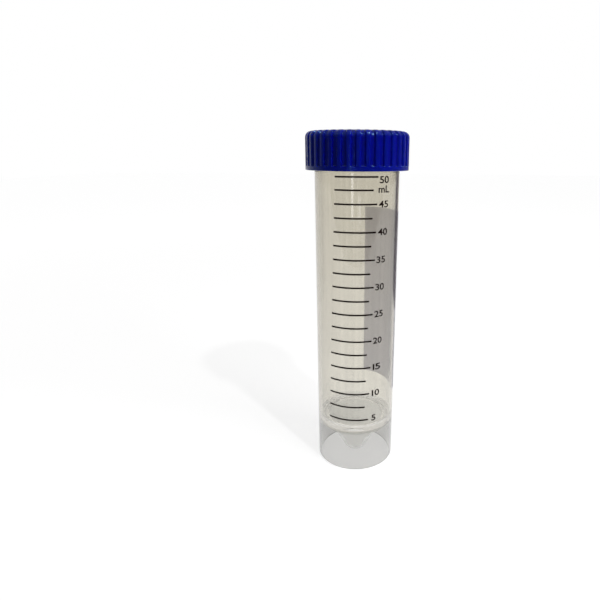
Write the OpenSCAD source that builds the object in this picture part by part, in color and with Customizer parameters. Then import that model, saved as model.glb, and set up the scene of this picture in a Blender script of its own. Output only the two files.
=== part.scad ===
// Self-standing conical tube with a ribbed screw cap and a sealing liner.
// The origin is the middle of the foot, +Z runs up the axis, and the printed scale faces -Y.

/* [Overall] */
// Height with the cap screwed down
overall_h = 117; // [105:0.5:135]

/* [Tube wall] */
// Outside diameter at the ledge just under the cap
body_d = 28.7; // [25:0.1:33]
// Outside diameter at the foot
foot_d = 27.4; // [23:0.1:31]
// Wall of the body
wall = 1.0; // [0.8:0.05:1.4]
// Wall of the skirt at the foot
skirt_wall = 0.9; // [0.7:0.05:1.2]
// Rounding of the rim and of the foot
edge_round = 0.35; // [0.1:0.05:0.4]
// Distance that the neck stands back from the body, as a ledge under the cap
neck_step = 0.2; // [0.15:0.05:0.3]
// Height of the gap between the ledge and the cap's lower edge
neck_gap = 0.4; // [0.2:0.05:0.8]

/* [Floor and cone] */
// Height of the shoulder's underside above the foot
shoulder_h = 14.2; // [12:0.1:20]
// Thickness of the shoulder and of the cone
floor_t = 1.2; // [0.8:0.05:1.6]
// Full angle of the cone
cone_angle = 60; // [50:1:64]
// Outside radius of the cone's rounded tip
tip_r = 5; // [3:0.1:5.5]
// Gap between the tip and the surface that the tube stands on
tip_gap = 0.5; // [0.3:0.1:3]
// Rounding inside, where the wall runs into the shoulder
shoulder_round = 2.2; // [1:0.1:2.6]
// Rounding of the groove between the skirt and the cone
groove_round = 0.8; // [0.4:0.1:0.9]
// Rounding of the lip where the floor runs down into the cone
lip_round = 0.4; // [0.2:0.05:0.8]
// Rounding under the floor, where the cone hangs from it
web_round = 0.3; // [0.2:0.05:0.6]

/* [Cap] */
// Height of the cap
cap_h = 12.5; // [11:0.1:16]
// Thickness of the cap's top
top_t = 1.4; // [1:0.1:2]
// Wall of the cap behind the grooves
cap_wall = 1.4; // [0.9:0.05:1.6]
// Rounding of the cap's top edge
top_round = 2; // [1.4:0.1:2.4]
// Height of the plain band under the grooves
band_h = 1.35; // [0.8:0.05:2]
// Diameter of the moulding gate's dimple in the middle of the top
gate_d = 3.2; // [2:0.1:5]
// Depth of that dimple
gate_depth = 0.3; // [0.1:0.05:0.5]

/* [Ribs] */
// Number of grooves round the cap
grooves = 36; // [24:2:40]
// Depth of a groove
groove_depth = 0.7; // [0.4:0.05:0.9]
// Width of a groove at its floor
groove_w = 1.2; // [0.8:0.05:1.4]
// Extra width of a groove at its mouth
groove_flare = 0.4; // [0.2:0.05:0.6]
// Size of the broken edge along each rib and round the thin edges of both mouldings
edge_break = 0.15; // [0.05:0.05:0.2]
// Rounding of the ramp at the lower end of a groove
ramp_round = 0.6; // [0.3:0.05:0.65]
// Turn of the first groove about the axis
groove_phase = 6.2; // [0:0.1:10]

/* [Thread] */
// Rise of the thread in one turn
lead = 3.5; // [3:0.1:4.5]
// Height of both ridges
ridge_h = 0.8; // [0.5:0.05:0.9]
// Width of a ridge at its root
ridge_root = 1.4; // [1:0.1:1.6]
// Width of a ridge at its crest
ridge_crest = 0.7; // [0.4:0.1:0.9]
// Gap between a crest and the wall it faces
crest_gap = 0.3; // [0.2:0.05:0.4]
// Height of the neck ridge's lower end above the cap's lower edge
thread_start = 2.9; // [2.7:0.1:3.2]
// Distance of the neck ridge's upper end under the rim
thread_end = 2.5; // [2:0.1:3.5]
// Turns by which the cap's ridge is shorter than the neck's
turns_less = 0.15; // [0:0.05:0.3]
// Depth that a ridge is sunk into its wall
ridge_sink = 0.3; // [0.2:0.05:0.5]
// Facets of a ridge in one turn
ridge_steps = 40; // [24:4:48]
// Facets over which a ridge fades in and out at its ends
ridge_fade = 3; // [2:1:5]
// Share of a ridge's height that is left at its ends
ridge_tail = 0.02; // [0.02:0.01:0.1]

/* [Liner] */
// Thickness of the liner
liner_t = 0.8; // [0.5:0.1:1.2]
// Gap between the liner's edge and the cap
liner_gap = 0.25; // [0.15:0.05:0.35]
// Height of the bead that holds the liner in the cap
bead_h = 0.7; // [0.5:0.05:0.8]
// Distance that the bead stands out of the cap's wall
bead_out = 0.5; // [0.35:0.05:0.55]
// Gap between the bead and the liner above it
bead_gap = 0.05; // [0.02:0.01:0.1]

/* [Hidden] */
$fn = 96;

// How far a cut runs past the face that it opens, and how far two joined outlines overlap
past = 1;
lap = 0.1;

// Heights of the closed tube, from the foot up
cap_edge_z = overall_h - cap_h;
ledge_z = cap_edge_z - neck_gap;
plate_z = overall_h - top_t;
rim_z = plate_z - liner_t;
inner_floor_z = shoulder_h + floor_t;

// Radii of the tube
body_r = body_d / 2;
foot_r = foot_d / 2;
neck_r = body_r - neck_step;
bore_r = body_r - wall;
tip_z = tip_gap + tip_r;
half_cone = cone_angle / 2;
cone_in_r = tip_r - floor_t;

// Radii of the cap, from its inside out: neck, ridge, gap, wall, groove, rib
cap_bore_r = neck_r + ridge_h + crest_gap;
groove_r = cap_bore_r + cap_wall;
cap_r = groove_r + groove_depth;
liner_r = cap_bore_r - liner_gap;
groove_turn = top_round + groove_depth / 2;
groove_mouth = groove_w + groove_flare;

// Turns of the two ridges, which lie half a turn apart
neck_turns = (rim_z - thread_end - cap_edge_z - thread_start) / lead;
cap_turns = neck_turns - turns_less;

// Outside radius of the tapered wall at height z, and inside radius of the wall there
function wall_r(z) = foot_r + (body_r - foot_r) * min(z, ledge_z) / ledge_z;
function inside_r(z) = wall_r(z) - wall;

// Radius at height z of a cone that touches a ball of radius r at the tip
function cone_r(r, z) = r * cos(half_cone) + (z - tip_z + r * sin(half_cone)) * tan(half_cone);

// Half outline of a round-tipped cone up to height z
module cone_outline(r, z) {
    intersection() {
        translate([0, tip_z]) circle(r = r);
        translate([0, tip_z - r]) square([r, 2 * r]);
    }
    polygon([
        [0, tip_z],
        [r * cos(half_cone), tip_z - r * sin(half_cone)],
        [cone_r(r, z), z],
        [0, z]
    ]);
}

// Distance from the corner of the floor and a cone to where a rounding of radius r meets either
function corner_reach(r) = r / tan((90 + half_cone) / 2);

// What a rounding of radius r takes off the corner at m between the floor and a cone under it
module floor_corner(m, r) {
    reach = corner_reach(r);
    difference() {
        polygon([
            m,
            [m[0] - reach * sin(half_cone), m[1] - reach * cos(half_cone)],
            [m[0] + reach, m[1]]
        ]);
        translate([m[0] + reach, m[1] - r]) circle(r = r);
    }
}

// Half outline of the tube as a full solid, with the rim and the foot rounded outside
module tube_outline() {
    polygon([
        [0, 0],
        [foot_r - edge_round, 0],
        [foot_r, edge_round],
        [body_r, ledge_z - edge_break],
        [body_r - edge_break, ledge_z],
        [neck_r, ledge_z],
        [neck_r, rim_z - edge_round],
        [neck_r - edge_round, rim_z],
        [0, rim_z]
    ]);
    translate([foot_r - edge_round, edge_round]) circle(r = edge_round);
    translate([neck_r - edge_round, rim_z - edge_round]) circle(r = edge_round);
}

// Half outline of the space that holds the sample. Its corner is rounded as far as there is floor.
module cavity_outline() {
    mouth_r = cone_r(cone_in_r, inner_floor_z);
    floor_w = inside_r(inner_floor_z) - mouth_r - corner_reach(lip_round);
    corner = max(edge_round, min(shoulder_round, floor_w));
    round_z = inner_floor_z + corner;
    corner_r = inside_r(round_z) - corner;
    cone_outline(cone_in_r, inner_floor_z);
    floor_corner([mouth_r, inner_floor_z], lip_round);
    translate([corner_r, round_z]) circle(r = corner);
    polygon([
        [0, inner_floor_z - lap],
        [cone_r(cone_in_r, inner_floor_z - lap), inner_floor_z - lap],
        [mouth_r, inner_floor_z],
        [corner_r, inner_floor_z],
        [corner_r, round_z],
        [inside_r(round_z), round_z],
        [bore_r, ledge_z],
        [bore_r, rim_z - edge_break],
        [bore_r + edge_break, rim_z],
        [bore_r + edge_break, rim_z + past],
        [0, rim_z + past]
    ]);
}

// Half outline of the hollow between the skirt and the cone
module skirt_outline() {
    round_z = shoulder_h - groove_round;
    top_r = wall_r(round_z) - wall;
    low_r = foot_r - skirt_wall;
    difference() {
        union() {
            polygon([
                [0, -past],
                [low_r + edge_break, -past],
                [low_r + edge_break, 0],
                [low_r, edge_break],
                [top_r, round_z],
                [top_r - groove_round, round_z],
                [top_r - groove_round, shoulder_h],
                [0, shoulder_h]
            ]);
            translate([top_r - groove_round, round_z]) circle(r = groove_round);
        }
        cone_outline(tip_r, shoulder_h + past);
        floor_corner([cone_r(tip_r, shoulder_h), shoulder_h], web_round);
    }
}

// One ridge of a thread, swept as a helix. It grows outwards from root_r where side is 1 and
// inwards where side is -1, is sunk into its wall, and fades in and out at its ends.
module ridge(root_r, side, turns, z0) {
    steps = round(turns * ridge_steps);
    sunk = ridge_root + (ridge_root - ridge_crest) * ridge_sink / ridge_h;
    function height(i) =
        ridge_h * max(ridge_tail, min(1, i / ridge_fade, (steps - i) / ridge_fade));
    function section(i) = [
        [root_r - side * ridge_sink, -sunk / 2],
        [root_r + side * height(i), -ridge_crest / 2],
        [root_r + side * height(i), ridge_crest / 2],
        [root_r - side * ridge_sink, sunk / 2]
    ];
    function place(p, i) =
        let(a = 360 * turns * i / steps)
        [p[0] * cos(a), p[0] * sin(a), z0 + p[1] + lead * turns * i / steps];
    points = [for (i = [0:steps]) for (p = section(i)) place(p, i)];
    n = len(section(0));
    sides = [
        for (i = [0:steps - 1])
            for (j = [0:n - 1])
                let(a = i * n + j, b = i * n + (j + 1) % n)
                side > 0 ? [a, b, b + n, a + n] : [a, a + n, b + n, b]
    ];
    start = [for (j = [0:n - 1]) side > 0 ? n - 1 - j : j];
    end = [for (j = [0:n - 1]) steps * n + (side > 0 ? j : n - 1 - j)];
    polyhedron(points, concat(sides, [start, end]));
}

module tube_body() {
    color([0.82, 0.81, 0.77, 0.5]) {
        rotate_extrude() {
            difference() {
                tube_outline();
                cavity_outline();
                skirt_outline();
            }
        }
        ridge(neck_r, 1, neck_turns, cap_edge_z + thread_start);
    }
}

module sealing_liner() {
    color("white")
        translate([0, 0, rim_z]) cylinder(r = liner_r, h = liner_t);
}

// Half outline of the cap's outside, over the ribs
module cap_outline() {
    polygon([
        [0, cap_edge_z],
        [cap_r - edge_break, cap_edge_z],
        [cap_r, cap_edge_z + edge_break],
        [cap_r, overall_h - top_round],
        [cap_r - top_round, overall_h - top_round],
        [cap_r - top_round, overall_h],
        [0, overall_h]
    ]);
    translate([cap_r - top_round, overall_h - top_round]) circle(r = top_round);
}

// Half outline of the inside of the cap, with the bead that holds the liner
module cap_hollow_outline() {
    bead_r = cap_bore_r - bead_out;
    difference() {
        polygon([
            [0, cap_edge_z - past],
            [cap_bore_r + edge_break, cap_edge_z - past],
            [cap_bore_r + edge_break, cap_edge_z],
            [cap_bore_r, cap_edge_z + edge_break],
            [cap_bore_r, plate_z],
            [0, plate_z]
        ]);
        polygon([
            [cap_bore_r + past, rim_z - bead_h],
            [cap_bore_r, rim_z - bead_h],
            [bead_r, rim_z - bead_h / 2],
            [bead_r, rim_z - 2 * bead_gap],
            [cap_bore_r, rim_z - bead_gap],
            [cap_bore_r + past, rim_z - bead_gap]
        ]);
    }
}

// Half outline of what a groove cuts away, seen from the side: it starts in a curved ramp above
// the plain band, and runs up and over the cap's rounded top edge.
module groove_outline() {
    low_z = cap_edge_z + band_h;
    turn_z = overall_h - groove_turn;
    translate([groove_r + ramp_round, low_z + ramp_round]) circle(r = ramp_round);
    difference() {
        polygon([
            [groove_r + ramp_round, low_z],
            [cap_r + past, low_z],
            [cap_r + past, overall_h + past],
            [groove_r - groove_turn, overall_h + past],
            [groove_r - groove_turn, turn_z],
            [groove_r, turn_z],
            [groove_r, low_z + ramp_round],
            [groove_r + ramp_round, low_z + ramp_round]
        ]);
        translate([groove_r - groove_turn, turn_z]) circle(r = groove_turn);
    }
}

// Outline of a groove seen from above, on the +X side, with its edges broken at the mouth
module groove_section() {
    floor_y = groove_w / 2;
    mouth_y = groove_mouth / 2;
    polygon([
        [groove_r - groove_turn - past, -floor_y],
        [groove_r, -floor_y],
        [cap_r - edge_break, -mouth_y],
        [cap_r + past, -mouth_y - edge_break - past],
        [cap_r + past, mouth_y + edge_break + past],
        [cap_r - edge_break, mouth_y],
        [groove_r, floor_y],
        [groove_r - groove_turn - past, floor_y]
    ]);
}

module groove_cutter() {
    intersection() {
        rotate([90, 0, 0])
            linear_extrude(height = 4 * groove_mouth, center = true) groove_outline();
        linear_extrude(height = overall_h + 2 * past) groove_section();
    }
}

module screw_cap() {
    color([0.02, 0.09, 0.55]) {
        difference() {
            rotate_extrude() {
                difference() {
                    cap_outline();
                    cap_hollow_outline();
                }
            }
            translate([0, 0, overall_h - gate_depth]) cylinder(d = gate_d, h = gate_depth + past);
            for (i = [0:grooves - 1])
                rotate([0, 0, groove_phase + 360 * i / grooves]) groove_cutter();
        }
        ridge(cap_bore_r, -1, cap_turns, cap_edge_z + thread_start - lead / 2);
    }
}

tube_body();
sealing_liner();
screw_cap();
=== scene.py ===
"""Looks of a 50 ml self-standing conical tube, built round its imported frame."""

import logging
import math
from dataclasses import dataclass
from enum import Enum

import bmesh
import bpy
from bpy.types import Material, Mesh, Node, NodeSocket, NodeTree, Object
from mathutils import Matrix, Vector


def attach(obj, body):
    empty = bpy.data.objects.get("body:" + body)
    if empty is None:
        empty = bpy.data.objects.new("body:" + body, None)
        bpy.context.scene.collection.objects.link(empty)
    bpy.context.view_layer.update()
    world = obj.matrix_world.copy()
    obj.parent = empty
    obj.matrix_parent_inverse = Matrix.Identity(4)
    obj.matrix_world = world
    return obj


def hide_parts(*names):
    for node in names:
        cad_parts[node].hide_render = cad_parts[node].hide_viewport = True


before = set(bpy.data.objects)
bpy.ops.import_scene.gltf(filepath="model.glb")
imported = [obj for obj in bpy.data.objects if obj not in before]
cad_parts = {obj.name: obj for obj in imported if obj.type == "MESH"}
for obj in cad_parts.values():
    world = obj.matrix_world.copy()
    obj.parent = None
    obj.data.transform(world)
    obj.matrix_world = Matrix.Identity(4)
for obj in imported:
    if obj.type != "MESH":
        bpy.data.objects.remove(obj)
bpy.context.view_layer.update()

MM = 0.001  # metres
MERGE = 1e-7  # metres, under which two vertices are one

# The node types that the trees use most.
MATH, VECTORS, SPLIT = "ShaderNodeMath", "ShaderNodeVectorMath", "ShaderNodeSeparateXYZ"
MIX, RANGE, NOISE, BUMP = "ShaderNodeMix", "ShaderNodeMapRange", "ShaderNodeTexNoise", "ShaderNodeBump"
PLACE, MOVE, SAMPLE = "GeometryNodeInputPosition", "GeometryNodeSetPosition", "GeometryNodeSampleIndex"
STORE, ATTRIBUTE = "GeometryNodeStoreNamedAttribute", "GeometryNodeInputNamedAttribute"
log = logging.getLogger("conical_tube")

Point = tuple[float, float]
Outline = list[Point]
Source = Node | NodeSocket


class Body(Enum):
    """The rigid bodies that the pieces ride on."""

    TUBE = "tube"
    LINER = "liner"
    CAP = "cap"


class Slot(Enum):
    """The record's material slots."""

    TUBE = "clear_polypropylene"
    LINER = "white_liner"
    CAP = "blue_polyethylene"
    BLACK = "black_ink"
    WHITE = "white_ink"


def linear(hex_colour: str) -> tuple[float, float, float, float]:
    """Turns an sRGB hex colour to the linear colour that the shader sockets take.

    Args:
        hex_colour: Colour as "#RRGGBB".

    Returns:
        Linear red, green, blue and an alpha of 1.
    """
    parts = [int(hex_colour[i:i + 2], 16) / 255 for i in (1, 3, 5)]
    r, g, b = (c / 12.92 if c <= 0.04045 else ((c + 0.055) / 1.055) ** 2.4 for c in parts)
    return (r, g, b, 1.0)


def plug(tree: NodeTree, node: Node, sockets: dict) -> None:
    """Sets a node's inputs to values, or links them to other nodes.

    Args:
        tree: Tree that holds the node.
        node: Node whose inputs are set.
        sockets: Value, socket or node by input name or number. A node stands for its first output.
    """
    for socket, source in sockets.items():
        if isinstance(source, Source):
            tree.links.new(source.outputs[0] if isinstance(source, Node) else source, node.inputs[socket])
        else:
            node.inputs[socket].default_value = source


def add(tree: NodeTree, kind: str, sockets: dict | None = None, **settings) -> Node:
    """Adds one node to a tree, with its settings, its input values and its links.

    Args:
        tree: Tree of a material, of the world or of geometry nodes.
        kind: Blender's name of the node type.
        sockets: What its inputs get, as for plug.
        settings: Properties of the node itself.

    Returns:
        The new node.
    """
    made = tree.nodes.new(kind)
    for name, value in settings.items():
        setattr(made, name, value)
    plug(tree, made, sockets or {})
    return made


def arc(centre: Point, radius: float, start: float, end: float, steps: int) -> Outline:
    """Points along an arc, from angle start to angle end in degrees, both ends included."""
    angles = [math.radians(start + (end - start) * i / steps) for i in range(steps + 1)]
    return [(centre[0] + radius * math.cos(a), centre[1] + radius * math.sin(a)) for a in angles]


def run(start: Point, end: Point, step: float, guard: float = 0.12) -> Outline:
    """Inner points of a straight run, with a guard point near each end.

    The guards keep the smooth shading of a rounding from spreading along the run.

    Args:
        start: First end, which isn't repeated.
        end: Last end, which isn't repeated.
        step: Widest spacing of the points, in millimetres.
        guard: Distance of a guard point from its end, in millimetres.

    Returns:
        The points between the two ends.
    """
    length = math.dist(start, end)
    if length < 3 * guard:
        return []
    count = max(1, math.ceil((length - 2 * guard) / step))
    shares = [(guard + (length - 2 * guard) * i / count) / length for i in range(count + 1)]
    return [(start[0] + (end[0] - start[0]) * s, start[1] + (end[1] - start[1]) * s) for s in shares]


def placed(name: str, data: bpy.types.ID) -> Object:
    """Adds an object to the scene.

    Args:
        name: Name of the object.
        data: Its mesh, text, lamp or camera.

    Returns:
        The object.
    """
    made = bpy.data.objects.new(name, data)
    bpy.context.scene.collection.objects.link(made)
    return made


def plain_mesh(name: str, holder: Object) -> Mesh:
    """Makes what an object's modifiers or text give a plain mesh, and removes the object.

    Args:
        name: Name of the mesh.
        holder: Object that is read and removed.

    Returns:
        The new mesh.
    """
    graph = bpy.context.evaluated_depsgraph_get()
    made = bpy.data.meshes.new_from_object(holder.evaluated_get(graph), depsgraph=graph)
    made.name = name
    bpy.data.objects.remove(holder)
    return made


def shaped(name: str, shape: bmesh.types.BMesh) -> Mesh:
    """Turns mesh code's shape into a mesh and frees the shape.

    Args:
        name: Name of the mesh.
        shape: Shape that is read and freed.

    Returns:
        The mesh.
    """
    mesh = bpy.data.meshes.new(name)
    shape.to_mesh(mesh)
    shape.free()
    return mesh


def new_tree(name: str, **inputs: str) -> tuple[NodeTree, dict[str, NodeSocket]]:
    """Starts a geometry tree with a geometry, a material and further named inputs.

    Args:
        name: Name of the tree.
        inputs: Names of the further inputs by their type, set apart by commas.

    Returns:
        The tree and the group input's sockets by name.
    """
    tree = bpy.data.node_groups.new(name, "GeometryNodeTree")
    for way in ("INPUT", "OUTPUT"):
        tree.interface.new_socket(name="Geometry", in_out=way, socket_type="NodeSocketGeometry")
    for kind, labels in (inputs | {"Material": "Material"}).items():
        for label in labels.split(", "):
            tree.interface.new_socket(name=label, in_out="INPUT", socket_type="NodeSocket" + kind)
    entry = add(tree, "NodeGroupInput")
    return tree, {s.name: s for s in entry.outputs if s.name}


def end_tree(tree: NodeTree, geometry: Source, material: NodeSocket) -> None:
    """Ends a geometry tree in realised instances, smooth shading and a material.

    Args:
        tree: Tree that is ended.
        geometry: What it makes.
        material: Its finish.
    """
    real = add(tree, "GeometryNodeRealizeInstances", {"Geometry": geometry})
    smooth = add(tree, "GeometryNodeSetShadeSmooth", {"Geometry": real})
    dressed = add(tree, "GeometryNodeSetMaterial", {"Geometry": smooth, "Material": material})
    add(tree, "NodeGroupOutput", {"Geometry": dressed})


def run_tree(name: str, mesh: Mesh, tree: NodeTree, values: dict) -> Mesh:
    """Runs a geometry tree on a mesh and returns the result as a plain mesh.

    Args:
        name: Name of the new mesh.
        mesh: Mesh that enters the tree.
        tree: Tree made by one of the functions below.
        values: Value of each named input.

    Returns:
        The new mesh, with no modifier left.
    """
    holder = placed(name + "_holder", mesh)
    modifier = holder.modifiers.new(tree.name, "NODES")
    modifier.node_group = tree
    keys = {s.name: s.identifier for s in tree.interface.items_tree if s.in_out == "INPUT"}
    for label, value in values.items():
        modifier[keys[label]] = value
    return plain_mesh(name, holder)


def point_mesh(name: str, points: Outline, unit: float = MM) -> Mesh:
    """Makes a mesh of loose points in X and Z, for a tree to read in order.

    Args:
        name: Name of the mesh.
        points: Points of an outline or a section.
        unit: Length of their unit in metres.

    Returns:
        The mesh.
    """
    mesh = bpy.data.meshes.new(name)
    mesh.from_pydata([(x * unit, 0.0, z * unit) for x, z in points], [], [])
    return mesh


def split_number(tree: NodeTree, number: Source, count: Source) -> tuple[Node, Node]:
    """Adds the nodes that split a running number into a row of a block and the block's number.

    Args:
        tree: Tree that gets the nodes.
        number: Running number.
        count: Number of rows in a block.

    Returns:
        The row and the block.
    """
    row = add(tree, MATH, {0: number, 1: count}, operation="MODULO")
    ratio = add(tree, MATH, {0: number, 1: count}, operation="DIVIDE")
    return row, add(tree, MATH, {0: ratio}, operation="FLOOR")


def swept_grid(tree: NodeTree, profile: NodeSocket, steps: Source) -> tuple[NodeSocket, Node, Node, Node]:
    """Adds a grid with one column for each end of a sweep's steps and one row for each profile point.

    Args:
        tree: Tree that gets the nodes.
        profile: Geometry whose points, in order, are the profile.
        steps: Number of the sweep's steps.

    Returns:
        The grid, its column number, the profile's point for each vertex and the row number.
    """
    size = add(tree, "GeometryNodeAttributeDomainSize", {0: profile}, component="MESH").outputs["Point Count"]
    columns = add(tree, MATH, {0: steps, 1: 1.0}, operation="ADD")
    grid = add(tree, "GeometryNodeMeshGrid", {"Vertices X": columns, "Vertices Y": size})
    row, column = split_number(tree, add(tree, "GeometryNodeInputIndex"), size)
    place = add(tree, PLACE)
    point = add(tree, SAMPLE, {"Geometry": profile, "Value": place, "Index": row}, data_type="FLOAT_VECTOR")
    return grid.outputs["Mesh"], column, point, row


def around_axis(tree: NodeTree, radius: Source, angle: Source, height: Source) -> Node:
    """Adds the nodes that turn a radius, an angle and a height into a position.

    Args:
        tree: Tree that gets the nodes.
        radius: Distance from the axis.
        angle: Angle from +X in radians.
        height: Height.

    Returns:
        The position.
    """
    flat = add(tree, "ShaderNodeCombineXYZ", {"X": radius, "Z": height})
    return add(tree, "ShaderNodeVectorRotate", {"Vector": flat, "Angle": angle}, rotation_type="Z_AXIS")


def closed(tree: NodeTree, mesh: Source, position: Source) -> Node:
    """Adds the nodes that set the positions and close seams and poles."""
    moved = add(tree, MOVE, {"Geometry": mesh, "Position": position})
    return add(tree, "GeometryNodeMergeByDistance", {"Geometry": moved, "Distance": MERGE})


def lathe_tree() -> NodeTree:
    """Turns a half outline of points into a closed round body.

    Returns:
        The tree.
    """
    tree, given = new_tree("lathe", Int="Segments")
    mesh, column, point, _ = swept_grid(tree, given["Geometry"], given["Segments"])
    share = add(tree, MATH, {0: column, 1: given["Segments"]}, operation="DIVIDE")
    angle = add(tree, MATH, {0: share, 1: math.tau}, operation="MULTIPLY")
    outline = add(tree, SPLIT, {0: point}).outputs
    position = around_axis(tree, outline["X"], angle, outline["Z"])
    end_tree(tree, closed(tree, mesh, position), given["Material"])
    return tree


def ridge_tree() -> NodeTree:
    """Sweeps a section up a helix, as a ridge of a thread that fades into its wall at both ends.

    Returns:
        The tree.
    """
    sizes = "Fade Steps, Turns, Lead, Start, Root Radius, Sink"
    tree, given = new_tree("thread_ridge", Int="Steps", Float=sizes)
    mesh, column, point, _ = swept_grid(tree, given["Geometry"], given["Steps"])
    share = add(tree, MATH, {0: column, 1: given["Steps"]}, operation="DIVIDE")
    turns = add(tree, MATH, {0: share, 1: given["Turns"]}, operation="MULTIPLY")
    angle = add(tree, MATH, {0: turns, 1: math.tau}, operation="MULTIPLY")
    # The ridge grows out of the wall over its first steps and shrinks back over its last ones.
    left = add(tree, MATH, {0: given["Steps"], 1: column}, operation="SUBTRACT")
    nearest = add(tree, MATH, {0: column, 1: left}, operation="MINIMUM")
    fade = add(tree, MATH, {0: nearest, 1: given["Fade Steps"]}, operation="DIVIDE", use_clamp=True)
    alive = add(tree, MATH, {0: nearest, 1: 0.5}, operation="GREATER_THAN")
    lively = add(tree, MATH, {0: fade, 1: alive}, operation="MULTIPLY")
    section = add(tree, SPLIT, {0: point}).outputs
    sunk = add(tree, MATH, {0: given["Sink"], 1: -1.0}, operation="MULTIPLY")
    proud = add(tree, MATH, {0: section["X"], 1: given["Sink"]}, operation="ADD")
    grown = add(tree, MATH, {0: proud, 1: lively, 2: sunk}, operation="MULTIPLY_ADD")
    radius = add(tree, MATH, {0: grown, 1: given["Root Radius"]}, operation="ADD")
    wide = add(tree, MATH, {0: section["Z"], 1: alive}, operation="MULTIPLY")
    rise = add(tree, MATH, {0: turns, 1: given["Lead"], 2: given["Start"]}, operation="MULTIPLY_ADD")
    height = add(tree, MATH, {0: rise, 1: wide}, operation="ADD")
    position = around_axis(tree, radius, angle, height)
    end_tree(tree, closed(tree, mesh, position), given["Material"])
    return tree


def ribbed_tree() -> NodeTree:
    """Turns a half outline into a round body whose grooves repeat one section round the axis.

    The outline's points carry a vector, the way from the rib's surface to the groove's floor. The
    section's points hold an angle in X, as a share of one pitch, and a depth in Z, as a share.

    Returns:
        The tree.
    """
    tree, given = new_tree("ribbed_lathe", Object="Section", Int="Grooves", Float="Phase")
    section = add(tree, "GeometryNodeObjectInfo", {"Object": given["Section"]}).outputs["Geometry"]
    size = add(tree, "GeometryNodeAttributeDomainSize", {0: section}, component="MESH").outputs["Point Count"]
    steps = add(tree, MATH, {0: given["Grooves"], 1: size}, operation="MULTIPLY")
    mesh, column, point, row = swept_grid(tree, given["Geometry"], steps)
    step, groove = split_number(tree, column, size)
    place = add(tree, PLACE)
    cut = add(tree, SAMPLE, {"Geometry": section, "Value": place, "Index": step}, data_type="FLOAT_VECTOR")
    parts = add(tree, SPLIT, {0: cut}).outputs
    pitches = add(tree, MATH, {0: groove, 1: parts["X"]}, operation="ADD")
    share = add(tree, MATH, {0: pitches, 1: given["Grooves"]}, operation="DIVIDE")
    angle = add(tree, MATH, {0: share, 1: math.tau, 2: given["Phase"]}, operation="MULTIPLY_ADD")
    inward = add(tree, ATTRIBUTE, {"Name": "groove"}, data_type="FLOAT_VECTOR")
    way = add(tree, SAMPLE, {"Geometry": given["Geometry"], "Value": inward, "Index": row},
              data_type="FLOAT_VECTOR")
    deep = add(tree, VECTORS, {0: way, "Scale": parts["Z"]}, operation="SCALE")
    outline = add(tree, SPLIT, {0: add(tree, VECTORS, {0: point, 1: deep}, operation="ADD")}).outputs
    position = around_axis(tree, outline["X"], angle, outline["Z"])
    end_tree(tree, closed(tree, mesh, position), given["Material"])
    return tree


def marks_tree() -> NodeTree:
    """Repeats a flat printed mark down a scale whose spacing grows and whose lengths alternate.

    The marks are made unrolled: X is the distance round the wall, Y the height above its surface
    and Z the height on the tube.

    Returns:
        The tree.
    """
    sizes = "Top, Spacing, Growth, First Drop, Left, Long End, Short End, Lean, Line, Low, High"
    tree, given = new_tree("scale_marks", Int="Count, Columns", Float=sizes)
    points = add(tree, "GeometryNodePoints", {"Count": given["Count"]})
    index = add(tree, "GeometryNodeInputIndex")
    kept = add(tree, STORE, {"Geometry": points, "Name": "mark", "Value": index}, data_type="FLOAT",
               domain="POINT")
    bar = add(tree, "GeometryNodeMeshCube", {"Size": (1.0, 1.0, 1.0), "Vertices X": given["Columns"]})
    place = add(tree, PLACE)
    unit = add(tree, STORE, {"Geometry": bar, "Name": "unit", "Value": place}, data_type="FLOAT_VECTOR",
               domain="POINT")
    bars = add(tree, "GeometryNodeInstanceOnPoints", {"Points": kept, "Instance": unit})
    real = add(tree, "GeometryNodeRealizeInstances", {"Geometry": bars})
    mark = add(tree, ATTRIBUTE, {"Name": "mark"}, data_type="FLOAT")
    local = add(tree, SPLIT, {0: add(tree, ATTRIBUTE, {"Name": "unit"}, data_type="FLOAT_VECTOR")}).outputs
    # The drop from the top is mark * spacing + mark * (mark - 1) / 2 * growth.
    before = add(tree, MATH, {0: mark, 1: 1.0}, operation="SUBTRACT")
    pairs = add(tree, MATH, {0: mark, 1: before}, operation="MULTIPLY")
    half = add(tree, MATH, {0: pairs, 1: 0.5}, operation="MULTIPLY")
    grown = add(tree, MATH, {0: half, 1: given["Growth"]}, operation="MULTIPLY")
    drop = add(tree, MATH, {0: mark, 1: given["Spacing"], 2: grown}, operation="MULTIPLY_ADD")
    first = add(tree, MATH, {0: mark, 1: 0.5}, operation="LESS_THAN")
    lower = add(tree, MATH, {0: first, 1: given["First Drop"], 2: drop}, operation="MULTIPLY_ADD")
    height = add(tree, MATH, {0: given["Top"], 1: lower}, operation="SUBTRACT")
    shift = add(tree, MATH, {0: drop, 1: given["Lean"]}, operation="MULTIPLY")
    odd = add(tree, MATH, {0: mark, 1: 2.0}, operation="MODULO")
    end = add(tree, MIX, {0: odd, 2: given["Long End"], 3: given["Short End"]})
    across = add(tree, MATH, {0: local["X"], 1: 0.5}, operation="ADD")
    along = add(tree, MIX, {0: across, 2: given["Left"], 3: end})
    x = add(tree, MATH, {0: along, 1: shift}, operation="SUBTRACT")
    above = add(tree, MATH, {0: local["Y"], 1: 0.5}, operation="ADD")
    y = add(tree, MIX, {0: above, 2: given["Low"], 3: given["High"]})
    z = add(tree, MATH, {0: local["Z"], 1: given["Line"], 2: height}, operation="MULTIPLY_ADD")
    position = add(tree, "ShaderNodeCombineXYZ", {0: x, 1: y, 2: z})
    end_tree(tree, add(tree, MOVE, {"Geometry": real, "Position": position}), given["Material"])
    return tree


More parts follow.
